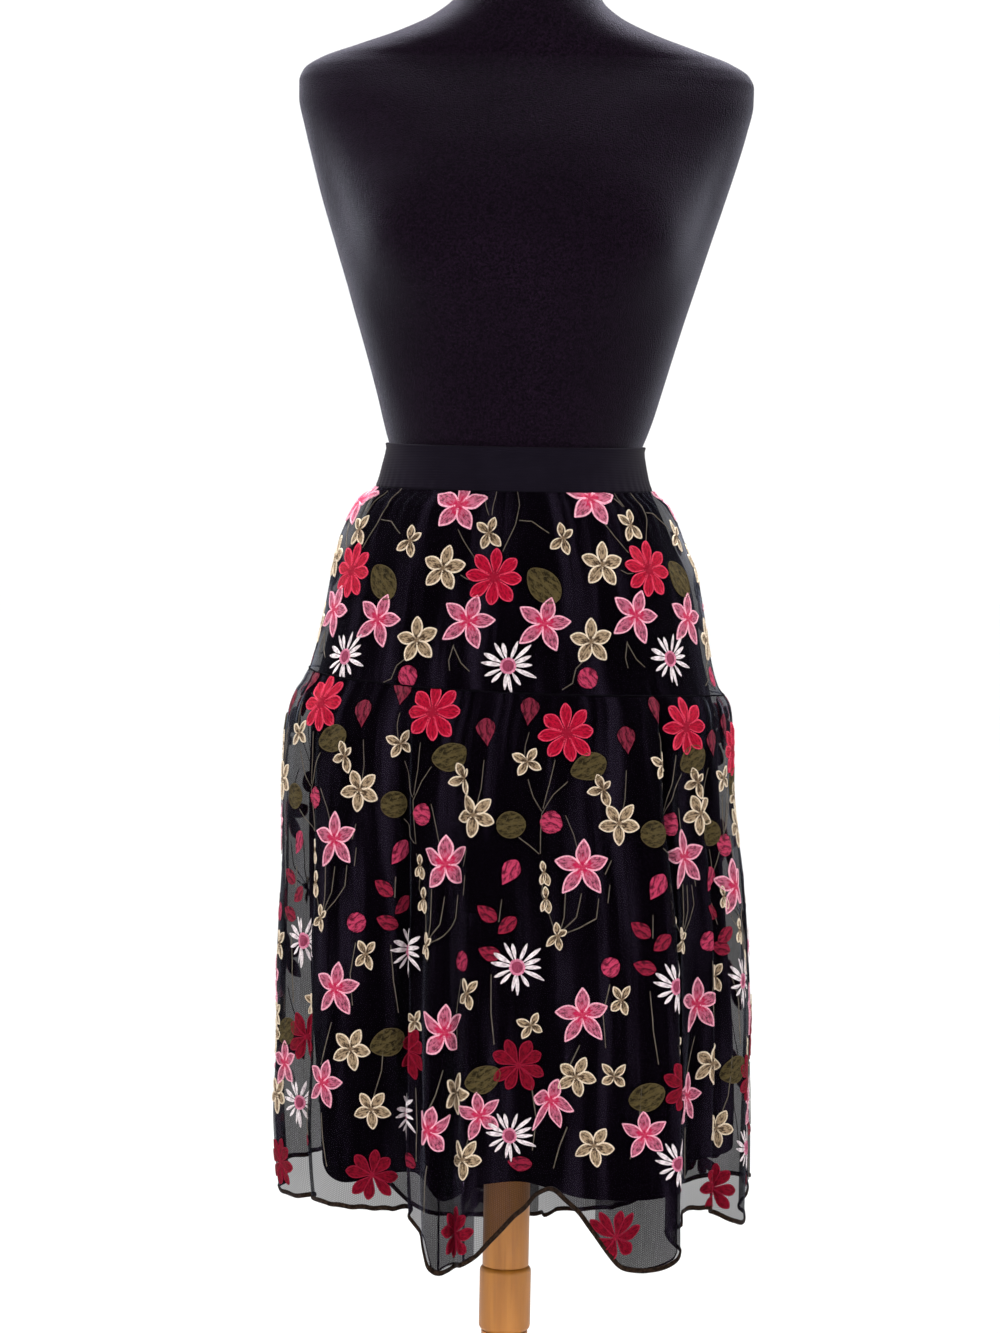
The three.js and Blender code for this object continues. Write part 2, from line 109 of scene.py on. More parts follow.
# Edges of the cloth: angle and height.
SEAM = [(-90, 838), (-50, 831), (0, 824), (60, 821), (90, 819), (180, 827), (270, 838)]
NET_HEM = [
    (-90, 372), (-70, 372), (-54, 379), (-29, 381), (-22, 366), (-14, 337), (-7, 350),
    (0, 378), (9, 405), (16, 386), (28, 335), (36, 343), (46, 376), (53, 376), (66, 356),
    (76, 360), (84, 372), (90, 378), (110, 368), (130, 346), (150, 312), (165, 304), (180, 291),
    (202, 301), (218, 340), (240, 380), (270, 372),
]
LINING_HEM = [
    (-90, 394), (-61, 388), (-28, 410), (-19, 389), (-8, 404), (2, 407), (20, 392),
    (42, 388), (47, 393), (54, 414), (90, 411), (140, 398), (190, 394), (230, 402), (270, 394),
]
# Hanging folds: angle, how far out at the hem, reach before and after, starting height,
# and how far the ridge rolls over towards larger angles.
NET_FOLDS = [
    (-74, 6, 12, 12, 780, 0), (-46, 10, 16, 15, 760, 4), (-25, -10, 10, 6, 800, 0),
    (-16, 22, 6, 17, 800, -5), (12, -9, 10, 9, 760, 0), (36, 22, 16, 9, 790, 6),
    (49, -12, 7, 7, 800, 0), (66, 9, 10, 13, 770, 4), (104, 12, 13, 12, 780, -6),
    (124, -10, 11, 9, 770, 0), (142, 18, 14, 10, 790, 9), (160, -9, 10, 9, 750, 0),
    (181, 20, 13, 16, 790, -9), (203, -11, 9, 9, 770, 0), (220, 17, 10, 15, 780, -8),
    (242, -8, 10, 9, 760, 0), (256, 8, 10, 8, 770, 3),
]
# Narrower folds that only show in the cloth itself.
SOFT_FOLDS = [
    (-27.3, -20, 2.3, 2.3, 830, 1), (-11.4, -18, 2.2, 2.2, 820, -1), (27, -5, 3.2, 3.2, 820, 0),
    (40.5, -20, 2.3, 2.3, 835, -1), (-58, -9, 3, 3, 790, 0), (4, 5, 4, 5, 700, 0),
    (58, -9, 3, 3, 790, 0), (78, -6, 4, 5, 780, 0), (-84, -5, 4, 4, 780, 0),
    (115, 6, 4, 5, 780, 3), (133, -19, 2.4, 2.4, 825, 0), (150, -9, 3, 3, 800, 0),
    (169, -17, 2.3, 2.3, 815, 0), (194, -20, 2.3, 2.3, 830, 0), (212, 5, 4, 4, 770, -3),
    (229, -15, 2.5, 2.5, 820, 0), (249, -8, 3, 3, 780, 0), (264, -5, 4, 4, 780, 0),
]
LINING_FOLDS = [
    (-62, 4, 22, 18, 760, 0), (-19, 7, 13, 12, 740, 0), (4, -4, 12, 12, 700, 0),
    (34, 6, 20, 14, 760, 0), (58, -5, 12, 16, 700, 0), (120, 6, 20, 22, 740, 0),
    (180, 7, 26, 20, 760, 0), (232, 6, 18, 22, 740, 0),
]


def smooth(rows):
    """A reader of a table's columns on smooth lines that never overshoot."""
    data = np.array(rows, float)
    at, values = data[:, 0], data[:, 1:]
    slopes = np.diff(values, axis=0) / np.diff(at)[:, None]
    tangents = np.vstack([slopes[:1], np.zeros_like(slopes[1:]), slopes[-1:]])
    a, b = slopes[:-1], slopes[1:]
    same = a * b > 0
    tangents[1:-1][same] = (2 * a * b)[same] / (a + b)[same]

    def read(where):
        where = np.clip(where, at[0], at[-1])
        i = np.clip(np.searchsorted(at, where, side="right") - 1, 0, len(at) - 2)
        step = (at[i + 1] - at[i])[..., None]
        u = (where - at[i])[..., None] / step
        rise = values[i + 1] - values[i]
        bend = step * (u * (1 - u) ** 2 * tangents[i] - u * u * (1 - u) * tangents[i + 1])
        found = values[i] + rise * u * u * (3 - 2 * u) + bend
        return np.moveaxis(found, -1, 0)

    return read


read_form, read_shoulder = smooth(FORM), smooth(SHOULDER)
read_net, read_lining = smooth(NET), smooth(LINING)


def edge_line(rows):
    """A reader of an edge's height at an angle."""
    read = smooth(rows)
    return lambda angle: read(angle / DEG)[0]


seam, net_hem, lining_hem = edge_line(SEAM), edge_line(NET_HEM), edge_line(LINING_HEM)


def circle(count):
    """Equal steps of angle all round."""
    return np.linspace(0, 2 * math.pi, count, endpoint=False)


def joined(*parts):
    """Points from their coordinates."""
    return np.stack(np.broadcast_arrays(*parts), -1)


def oval(section, angle, z, out, along=0.0):
    """Points of an oval section, moved out along its normal and along its outline."""
    left, right, front, back, power = section
    s, c = np.sin(angle), np.cos(angle)
    side, depth = np.where(s > 0, right, left), np.where(c > 0, front, back)
    x = side * np.sign(s) * np.abs(s) ** power
    y = -depth * np.sign(c) * np.abs(c) ** power
    nx = np.sign(s) * np.abs(s) ** (2 - power) / side
    ny = -np.sign(c) * np.abs(c) ** (2 - power) / depth
    size = np.hypot(nx, ny)
    nx, ny = nx / size, ny / size
    return joined(x + out * nx - along * ny, y + out * ny + along * nx, z)


def form_section(z):
    half, shift, front, back = read_form(z)
    return half - shift, half + shift, front, back, read_shoulder(z)[0]


def band_rise(angle):
    """How much higher the waistband is at an angle than at the front."""
    return BAND_RISE * (1 - np.cos(angle))


def relief(folds, angle, z):
    """How far the hanging folds stand out, and roll over to one side, at an angle and a height."""
    out = np.zeros(np.broadcast(angle, z).shape)
    along = out.copy()
    for at, height, before, after, start, roll in folds:
        depth = np.clip((start - z) / (start - HEM_LEVEL), 0, None)
        off = angle / DEG - at
        share = np.clip(off / np.where(off < 0, before, after), -1, 1)
        bump = 0.5 * (1 + np.cos(math.pi * share)) * np.sqrt(depth)
        out += height * bump
        along += roll * bump
    return out, along


def hung(read, folds, inset, angle, z):
    """Points of cloth that starts at the waistband and eases into its own sections."""
    share = np.clip((BAND_BOTTOM + band_rise(angle) - z) / EASE, 0, 1)
    share = (share * share * (3 - 2 * share))[..., None]
    held = oval(form_section(z), angle, z, BAND_OUT - inset)
    free = oval((*read(z), 1.0), angle, z, *relief(folds, angle, z))
    return held * (1 - share) + free * share


def panel(point, top, bottom, start, columns, rows):
    """A grid of a panel's points from side seam to side seam, with equal steps along the cloth
    in each row, and the length of each row."""
    samples = np.linspace(start, start + math.pi, 1801)
    t = rows[:, None]

    def lay(angle):
        return point(angle, top(angle) * (1 - t) + bottom(angle) * t)

    laid = lay(samples[None, :])
    step = np.hypot(*np.moveaxis(np.diff(laid[..., :2], axis=1), -1, 0))
    length = np.concatenate([np.zeros((len(rows), 1)), np.cumsum(step, 1)], 1)
    want = np.linspace(0, 1, columns + 1)
    angle = np.array([np.interp(want, row / row[-1], samples) for row in length])
    return lay(angle), length[:, -1]


# ---- helpers for nodes and meshes

def srgb(r, g, b):
    """A colour given in ordinary 0 to 255 values, as Blender's linear colour."""
    def linear(v):
        v /= 255
        return v / 12.92 if v <= 0.04045 else ((v + 0.055) / 1.055) ** 2.4
    return (linear(r), linear(g), linear(b), 1.0)


class Nodes:
    """A short way to build a material's node tree."""

    def __init__(self, name, **sockets):
        self.material = bpy.data.materials.new(name)
        self.material.use_nodes = True
        self.tree = self.material.node_tree
        self.shader = self.tree.nodes["Principled BSDF"]
        for key, value in sockets.items():
            self.shader.inputs[key.replace("_", " ")].default_value = value

    def add(self, kind, inputs=(), **properties):
        node = self.tree.nodes.new(kind)
        for key, value in properties.items():
            setattr(node, key, value)
        for key, value in dict(inputs).items():
            if isinstance(value, bpy.types.NodeSocket):
                self.tree.links.new(value, node.inputs[key])
            else:
                node.inputs[key].default_value = value
        return node

    def math(self, operation, a, b=0.0):
        return self.add("ShaderNodeMath", {0: a, 1: b}, operation=operation).outputs[0]

    def mix(self, share, a, b):
        return self.add("ShaderNodeMix", {0: share, 6: a, 7: b}, data_type="RGBA").outputs[2]

    def ramp(self, value, low, high, to_low=0.0, to_high=1.0):
        ends = {0: value, 1: low, 2: high, 3: to_low, 4: to_high}
        return self.add("ShaderNodeMapRange", ends, interpolation_type="SMOOTHSTEP").outputs[0]

    def noise(self, vector, scale, detail=3.0, roughness=0.55):
        inputs = {"Vector": vector, "Scale": scale, "Detail": detail, "Roughness": roughness}
        return self.add("ShaderNodeTexNoise", inputs).outputs[0]

    def wave(self, vector, scale, distortion, direction):
        inputs = {"Vector": vector, "Scale": scale, "Distortion": distortion, "Detail": 2.0}
        return self.add("ShaderNodeTexWave", inputs, bands_direction=direction).outputs[1]

    def scaled(self, vector, x, y, z):
        return self.add("ShaderNodeMapping", {"Vector": vector, "Scale": (x, y, z)}).outputs[0]

    def place(self):
        return self.add("ShaderNodeTexCoord").outputs["Object"]

    def uv(self):
        return self.add("ShaderNodeUVMap", uv_map="UVMap").outputs[0]

    def bump(self, height, strength, distance):
        inputs = {"Strength": strength, "Distance": distance, "Height": height}
        self.link(self.add("ShaderNodeBump", inputs).outputs[0], "Normal")

    def link(self, value, socket):
        self.tree.links.new(value, self.shader.inputs[socket])


def make(name, points, faces, materials, uv=None, kinds=None):
    """A smooth-shaded mesh from points in millimetres, riding on the part."""
    mesh = bpy.data.meshes.new(name)
    mesh.from_pydata((np.asarray(points) * MM).tolist(), [], np.asarray(faces).tolist())
    for material in materials:
        mesh.materials.append(material)
    corners = np.empty(len(mesh.loops), int)
    mesh.loops.foreach_get("vertex_index", corners)
    if uv is not None:
        layer = mesh.uv_layers.new(name="UVMap")
        layer.data.foreach_set("uv", np.asarray(uv, float)[corners].ravel())
    if kinds is not None:
        mesh.polygons.foreach_set("material_index", np.asarray(kinds, int))
    mesh.polygons.foreach_set("use_smooth", [True] * len(mesh.polygons))
    mesh.update()
    made = bpy.data.objects.new(name, mesh)
    scene.collection.objects.link(made)
    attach(made, "root")
    return made


def grid_faces(rows, columns, ring=False, start=0):
    """Quads over a grid of points, facing out for rows that run downwards."""
    spans = columns if ring else columns - 1
    j, i = np.meshgrid(np.arange(rows - 1), np.arange(spans), indexing="ij")
    a, b = j * columns + i, j * columns + (i + 1) % columns
    quads = np.stack([a, a + columns, b + columns, b], -1).reshape(-1, 4)
    return quads + start


def grid_object(name, grid, materials, ring=False, uv=None):
    rows, columns = grid.shape[:2]
    flat_uv = None if uv is None else uv.reshape(-1, 2)
    return make(name, grid.reshape(-1, 3), grid_faces(rows, columns, ring), materials, flat_uv)


def normals_of(grid):
    """Outward unit normals of a grid whose rows run downwards and columns counter-clockwise."""
    across, down = np.gradient(grid, axis=1), np.gradient(grid, axis=0)
    normal = np.cross(down, across)
    return normal / np.linalg.norm(normal, axis=-1, keepdims=True)


# ---- materials

def cloth_material(name, colour, roughness, sheen, scale, strength, depth):
    """Matt cloth with a napped tone and a fine grain of the given scale and depth."""
    n = Nodes(name, Roughness=roughness, Sheen_Weight=sheen, Sheen_Roughness=0.42,
              Sheen_Tint=(0.84, 0.86, 1.0, 1.0), Specular_IOR_Level=0.0)
    place = n.place()
    grain, tone = n.noise(place, 0.6 * scale, 2), n.noise(place, 9, 3)
    light = tuple(min(1, v * 1.9) for v in colour[:3]) + (1.0,)
    dark = tuple(v * 0.5 for v in colour[:3]) + (1.0,)
    nap = n.math("MULTIPLY", n.ramp(grain, 0.36, 0.64), n.ramp(tone, 0.3, 0.7, 0.65, 1.0))
    n.link(n.mix(nap, dark, light), "Base Color")
    n.bump(n.noise(place, scale, 2), strength, depth)
    return n.material


jersey = cloth_material("jersey", srgb(11, 5, 12), 0.95, 0.14, 900, 0.8, 0.001)
lining_cloth = cloth_material("lining_cloth", srgb(5, 4, 6), 0.6, 0.01, 500, 0.2, 0.0003)


def elastic_material():
    n = Nodes("elastic", Roughness=0.85, Sheen_Weight=0.06, Sheen_Roughness=0.4,
              Specular_IOR_Level=0.0)
    place = n.place()
    ribs = n.wave(n.scaled(place, 0, 0, 1), 140, 0.4, "Z")
    tone = n.noise(place, 60, 3)
    shade = n.math("MULTIPLY", n.ramp(ribs, 0.1, 0.9, 0.88, 1.0), n.ramp(tone, 0.3, 0.7, 0.8, 1.0))
    n.link(n.mix(shade, srgb(5, 3, 6), srgb(16, 13, 20)), "Base Color")
    n.bump(ribs, 0.25, 0.0003)
    return n.material


# The distance between the net's holes, and how much of the light its cloth stops at the
# threads and at the holes.
HOLE_SPACING, THREAD_COVER, HOLE_COVER = 1.5, 0.775, 0.6


def net_material(name, colour, painted_sheen):
    """Black net: six-sided holes between threads, with soft upright streaks of painted sheen, a
    lighter tone that stands in for the light on its gathers.
    """
    n = Nodes(name, Roughness=0.6, Specular_IOR_Level=0.0, Sheen_Weight=0.12,
              Sheen_Roughness=0.3, Sheen_Tint=(0.72, 0.8, 1.0, 1.0))
    holes = 2 * math.pi / HOLE_SPACING / MM
    uv = n.uv()
    parts = n.add("ShaderNodeSeparateXYZ", {0: uv})
    drift = n.math("MULTIPLY", n.noise(uv, 40, 2), 0.003)
    x, y = n.math("ADD", parts.outputs[0], drift), parts.outputs[1]
    waves = []
    for turn in (0, 60, 120):
        c, s = math.cos(turn * DEG), math.sin(turn * DEG)
        along = n.math("ADD", n.math("MULTIPLY", x, c * holes), n.math("MULTIPLY", y, s * holes))
        waves.append(n.math("COSINE", along))
    total = n.math("ADD", n.math("ADD", waves[0], waves[1]), waves[2])
    cover = n.ramp(total, -0.6, 1.6, THREAD_COVER, HOLE_COVER)
    patch = n.ramp(n.noise(uv, 5, 3), 0.3, 0.7, 0.92, 1.06)
    n.link(n.math("MULTIPLY", cover, patch), "Alpha")
    # Painted sheen: stretched noise lightens the net's colour in upright streaks, standing in for
    # the light on its gathers.
    painted_streaks = n.noise(n.scaled(uv, 42, 3.5, 1), 1, 3)
    n.link(n.mix(n.ramp(painted_streaks, 0.45, 0.72), colour, painted_sheen), "Base Color")
    return n.material


elastic = elastic_material()
# The second colour is the painted sheen of the net's streaks.
net_cloth = net_material("net_cloth", srgb(4, 2, 5), srgb(25, 20, 30))
rolled_net = cloth_material("rolled_net", srgb(26, 18, 13), 0.8, 0.06, 700, 0.5, 0.0006)


def maple_material():
    n = Nodes("maple", Roughness=0.45, Specular_IOR_Level=0.3, Coat_Weight=0.06, Coat_Roughness=0.3)
    place = n.place()
    grain = n.noise(n.scaled(place, 40, 40, 3.5), 3, 4, 0.5)
    line = n.noise(n.scaled(place, 200, 200, 6), 2, 3)
    tone = n.mix(n.ramp(grain, 0.3, 0.7), srgb(136, 84, 25), srgb(154, 99, 34))
    tone = n.mix(n.ramp(line, 0.52, 0.75, 0.0, 0.18), tone, srgb(98, 54, 17))
    n.link(tone, "Base Color")
    n.bump(line, 0.15, 0.0004)
    return n.material


maple = maple_material()


# What a millimetre of a motif measures in its threads' texture.
THREAD_UV = 0.02


def thread_material(name, light, dark, centre, reach, speck, fine=1.0):
    """Embroidery: short stitches with gaps, and a ragged centre of another colour.
    UV x is the distance from the motif's middle."""
    n = Nodes(name, Roughness=0.65, Specular_IOR_Level=0.04)
    uv = n.uv()
    stitches = n.wave(n.scaled(uv, 18, 110, 1), 1, 4.5, "Y")
    lace = n.noise(n.scaled(uv, 11 * fine, 30 * fine, 1), 1, 4, 0.7)
    gaps = n.ramp(lace, 0.4, 0.56)
    share = n.math("ADD", n.math("MULTIPLY", stitches, 1 - speck), n.math("MULTIPLY", gaps, speck))
    tone = n.mix(share, srgb(*dark), srgb(*light))
    if centre:
        x = n.add("ShaderNodeSeparateXYZ", {0: uv}).outputs[0]
        rag = n.ramp(lace, 0.3, 0.7, -0.5 * reach, 0.5 * reach)
        ragged = n.math("ADD", n.math("MULTIPLY", x, 1 / THREAD_UV), rag)
        tone = n.mix(n.ramp(ragged, reach * 0.35, reach, 0.92, 0.0), tone, srgb(*centre))
    n.link(tone, "Base Color")
    n.bump(n.math("ADD", stitches, gaps), 0.6, 0.0005)
    return n.material


# Threads: the colours of the stitches and of the gaps, the centre's colour and how far it
# reaches, how much the gaps count beside the stitches, and how fine they are.
PINK_CENTRE = (168, 14, 62)
THREAD_TABLE = {
    "pink_fill": ((178, 92, 116), (66, 20, 34), PINK_CENTRE, 10, 0.8),
    "pink_cord": ((238, 182, 196), (182, 104, 128), PINK_CENTRE, 6, 0.45),
    "cream_fill": ((156, 134, 108), (62, 46, 32), (48, 32, 20), 9, 0.8),
    "cream_cord": ((232, 216, 194), (166, 146, 120), (96, 74, 52), 5, 0.5),
    "red_fill": ((164, 12, 44), (96, 2, 20), (120, 4, 30), 7, 0.75),
    "red_cord": ((214, 66, 94), (168, 30, 58), (130, 8, 34), 10, 0.5),
    # The next two rows are a darker copy of the red threads: painted shade for the dim red flowers
    # low on the tier.
    "deep_fill": ((112, 6, 28), (60, 2, 12), (70, 2, 16), 7, 0.75),
    "deep_cord": ((134, 22, 46), (100, 8, 28), None, 0, 0.5),
    "white": ((232, 222, 223), (136, 118, 124), None, 0, 0.6),
    "ring": ((214, 138, 162), (158, 70, 100), None, 0, 0.5),
    "disc": ((150, 66, 92), (86, 26, 46), None, 0, 0.7),
    "olive": ((76, 65, 38), (24, 19, 10), None, 0, 0.9, 0.5),
    "olive_line": ((80, 70, 44), (54, 45, 27), None, 0, 0.5),
    "blossom": ((166, 52, 82), (60, 5, 22), None, 0, 0.9, 0.5),
    "bud": ((112, 32, 50), (36, 4, 12), None, 0, 0.9, 0.5),
    "spray": ((122, 24, 46), (40, 4, 14), None, 0, 0.9, 0.5),
    "stem": ((102, 94, 84), (48, 42, 36), None, 0, 0.4),
}
THREADS = {
    name: thread_material(name if "_" in name else f"{name}_thread", *row)
    for name, row in THREAD_TABLE.items()
}
SLOTS = {name: index for index, name in enumerate(THREADS)}


# ---- the dress form and its stand

# The heights of the form's rings, in spans: from, to and how many.
LEVELS = [(778, 800, 9), (800, 1340, 110), (1340, 1440, 60), (1440, 1500, 12), (1500, 1506, 6)]
# The form's flat ends, and how far in the rings on them lie, as shares of the outermost one.
FORM_TOP, FORM_BOTTOM = 1506.2, 777.6
LID_RINGS = (0.94, 0.7, 0.35, 0.001)

levels = np.unique(np.concatenate([np.linspace(*span) for span in LEVELS]))[::-1]
around = circle(160)
turn = (around[None, :] + math.pi) % (2 * math.pi) - math.pi


def mound(at, high, wide, level, tall):
    """A soft rise on both sides of the form."""
    up = ((levels[:, None] - level) / tall) ** 2
    return sum(high * np.exp(-((turn / DEG - side * at) / wide) ** 2 - up) for side in (-1, 1))


bust = mound(36, 17, 18, 1214, 50) + mound(70, -7, 16, 1262, 60)
torso_grid = oval(form_section(levels[:, None]), around[None, :], levels[:, None], bust)


def lid(ring, z):
    """Level rings that close a ringed body's end, from its outline in."""
    rings = np.array([ring * [share, share, 1] for share in LID_RINGS])
    rings[..., 2] = z
    return rings


top_lid, bottom_lid = lid(torso_grid[0], FORM_TOP)[::-1], lid(torso_grid[-1], FORM_BOTTOM)
torso_grid = np.concatenate([top_lid, torso_grid, bottom_lid])
torso = grid_object("torso", torso_grid, [jersey], ring=True)
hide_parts("form")


# The stand's turned pieces: name, node, radius, top, bottom, how round the upper and the lower
# edge are, and the points round it.
STAND = [
    ("pole_wood", "pole", 21, 777.7, 297.3, 0.5, 0.5, 96),
    ("hub_wood", "hub", 23.3, 297, 238, 5, 5, 96),
    ("post_wood", "post", 21, 237.7, 24.3, 0.5, 0.5, 96),
    ("base_wood", "base", 190, 24, 0, 6, 1.5, 160),
]
NEAR_AXIS = 0.01


def rounded(radius, top, bottom, upper, lower, steps=8):
    """The profile of a turned cylinder with rounded edges, from its top down."""
    turns = np.linspace(90, 0, steps) * DEG
    neck, foot = radius - upper, radius - lower
    over = [(neck + upper * math.cos(a), top - upper + upper * math.sin(a)) for a in turns]
    under = [(foot + lower * math.cos(a), bottom + lower - lower * math.sin(a)) for a in turns]
    return [(NEAR_AXIS, top), *over, *under[::-1], (NEAR_AXIS, bottom)]


def turned(name, node, profile, segments):
    angle = circle(segments)
    radius, height = np.array(profile, float).T[:, :, None]
    grid = joined(radius * np.sin(angle), -radius * np.cos(angle), height)
    made = grid_object(name, grid, [maple], ring=True)
    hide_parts(node)


for name, node, *sizes, segments in STAND:
    turned(name, node, rounded(*sizes), segments)


# ---- waistband

# The elastic's profile: the share of the way down from its upper edge, and how far out.
BAND_PROFILE = [
    (0, 0.7), (0, 2.6), (0.012, 3.3), (0.03, 3.5), (0.06, 3.5), (0.12, 3.2), (0.25, 3.1),
    (0.5, 3.1), (0.75, 3.15), (0.88, 3.35), (0.94, 3.6), (0.97, 3.6), (0.988, 3.4), (1, 2.7),
    (1, 1.0),
]


def waistband():
    """The elastic's grid, with small upright ripples where the net pulls at its lower edge."""
    t, out = np.array(BAND_PROFILE).T[:, :, None]
    angle = circle(480)[None, :]
    pull = 0.25 * np.sin(68 * angle + 1.7 * np.sin(5 * angle)) * t ** 3
    z = BAND_TOP - (BAND_TOP - BAND_BOTTOM) * t + band_rise(angle)
    return oval(form_section(z), angle, z, out + pull)


band = grid_object("waistband_elastic", waistband(), [elastic], ring=True)
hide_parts("waistband")


# ---- the hanging cloth

def net_point(angle, z):
    return hung(read_net, NET_FOLDS + SOFT_FOLDS, 0.0, angle, z)


def lining_point(angle, z):
    return hung(read_lining, LINING_FOLDS, LINING_INSET, angle, z)


def band_edge(angle):
    """The height of the cloth's upper edge, tucked in under the waistband."""
    return BAND_BOTTOM - TUCK + band_rise(angle)


def uneven(count, length, low, high):
    """Random values along the cloth, smoothly joined."""
    knots = rng.uniform(low, high, count)
    return np.interp(np.linspace(0, count - 1, length), np.arange(count), knots)


# The share of their height that gathers have at the seam, and how far down they have it all.
GATHER_START, GATHER_FULL = 0.35, 9


def gathers(share, fall, number, height, reach):
    """Outward waves of gathered cloth under a seam, each of its own height and length."""
    size = len(share)
    phase = 2 * math.pi * number * share + 2.2 * uneven(number, size, -0.5, 0.5)
    tall = height * uneven(number, size, 0.35, 1.0)
    end = reach * uneven(number * 2, size, 0.35, 1.0)
    rise = GATHER_START + (1 - GATHER_START) * np.clip(fall / GATHER_FULL, 0, 1)
    fade = np.clip(1 - fall / end[None, :], 0, 1) ** 1.2
    return tall * 0.5 * (1 - np.cos(phase)) * rise * fade


# Ripples down the lower tier: how many across a panel, and their part of the height; then how
# far down they have it all.
RIPPLES, RIPPLE_FULL = ((11, 0.5), (19, 0.35), (31, 0.2)), 160


class Panel:
    """A cut panel laid out as a fine grid. A place on it is a share across and a share down."""

    def __init__(self, point, top, bottom, start, columns, rows, waves=(), ripple=0.0):
        t = np.linspace(0, 1, rows + 1)
        base, self.width = panel(point, top, bottom, start, columns, t)
        self.drop = np.abs(base[0, :, 2] - base[-1, :, 2])
        normal = normals_of(base)
        share = np.linspace(0, 1, columns + 1)
        fall = t[:, None] * self.drop[None, :]
        out = np.zeros(base.shape[:2])
        for number, height, reach in waves:
            out += gathers(share, fall, number, height, reach)
        if ripple:
            drift = 0.02 * np.sin(2.5 * math.pi * t[:, None] + 9 * share[None, :])
            for number, part in RIPPLES:
                phase = 2 * math.pi * number * (share[None, :] + drift) + rng.uniform(0, 6)
                wave = np.sin(phase + 1.5 * np.sin(7 * share))
                out += ripple * part * wave * np.clip(fall / RIPPLE_FULL, 0, 1)
        self.grid = base + normal * out[..., None]
        self.normal = normals_of(self.grid)
        self.uv = joined(share * self.width.mean() * MM, t[:, None] * self.drop.mean() * MM)

    def at(self, share, t):
        """Points and normals at places across and down the panel."""
        rows, columns = self.grid.shape[0] - 1, self.grid.shape[1] - 1
        x, y = np.clip(share, 0, 1) * columns, np.clip(t, 0, 1) * rows
        i, j = np.minimum(x.astype(int), columns - 1), np.minimum(y.astype(int), rows - 1)
        u, v = (x - i)[..., None], (y - j)[..., None]

        def blend(grid):
            upper = grid[j, i] * (1 - u) + grid[j, i + 1] * u
            lower = grid[j + 1, i] * (1 - u) + grid[j + 1, i + 1] * u
            return upper * (1 - v) + lower * v

        normal = blend(self.normal)
        return blend(self.grid), normal / np.linalg.norm(normal, axis=-1, keepdims=True)

    def frame(self, share, t, reach=14.0):
        """Steps of one millimetre to the right and straight down on the cloth round a place,
        each as shares across and down."""
        width = np.interp(t, np.linspace(0, 1, len(self.width)), self.width)
        drop = np.interp(share, np.linspace(0, 1, len(self.drop)), self.drop)
        ds, dt = reach / width, reach / drop
        share, t = min(max(share, ds), 1 - ds), min(max(t, dt), 1 - dt)
        places = np.array([(share - ds, t), (share + ds, t), (share, t - dt), (share, t + dt)])
        points = self.at(places[:, 0], places[:, 1])[0]
        right = (points[1] - points[0]) / (places[1, 0] - places[0, 0])
        down = (points[3] - points[2]) / (places[3, 1] - places[2, 1])
        speed = math.hypot(right[0], right[1])
        slide = (down[0] * right[0] + down[1] * right[1]) / speed / max(speed, 0.6 * width)
        level = -right[2] / down[2]
        return (1 / width, level / width), (-slide / drop, 1 / drop)


# Gathers under each seam, in two sizes: how many across a panel, their height and their reach.
YOKE_WAVES = [(34, 2.6, 70), (13, 1.6, 150)]
TIER_WAVES = [(36, 2.4, 90), (15, 2.6, 230)]
RIPPLE = 1.3
panels = {}
for side, start in (("front", -math.pi / 2), ("back", math.pi / 2)):
    panels[f"yoke_{side}"] = Panel(net_point, band_edge, seam, start, 330, 56, YOKE_WAVES)
    panels[f"tier_{side}"] = Panel(net_point, seam, net_hem, start, 360, 120, TIER_WAVES, RIPPLE)
    panels[f"lining_{side}"] = Panel(lining_point, band_edge, lining_hem, start, 150, 100)

for name, laid in panels.items():
    material = lining_cloth if name.startswith("lining") else net_cloth
    piece = grid_object(f"{name}_cloth", laid.grid, [material], uv=laid.uv)
    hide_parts(name)


def cord(name, line, radius, flat, material, sides=8):
    """A closed flattened cord along a line of points with outward normals."""
    points, normal = line
    down = np.gradient(points, axis=0)
    down /= np.linalg.norm(down, axis=-1, keepdims=True)
    up = np.cross(normal, down)
    turns = circle(sides)[:, None, None]
    grid = points + radius * (flat * np.cos(turns) * normal + np.sin(turns) * up)
    grid = grid.transpose(1, 0, 2)
    return grid_object(name, grid, [material], ring=True)


trims = {name: [] for name in panels}

# Layers of net that lie folded back behind hanging folds: name, panel, from and to which angle,
# the height they start at, and the depth they lie at.
RETURNED_FOLDS = [
    ("front_left_fold", "tier_front", -21, -7, 640, 5),
    ("front_right_fold", "tier_front", 20, 42, 700, 4),
    ("back_left_fold", "tier_back", 128, 150, 660, 12),
    ("back_middle_fold", "tier_back", 172, 194, 690, 13),
    ("back_right_fold", "tier_back", 213, 232, 640, 11),
]
# How far such a layer's hem is lifted and its cloth set back, and about where it ends.
FOLD_LIFT, FOLD_GAP, FOLD_END = 1.5, 0.4, 370


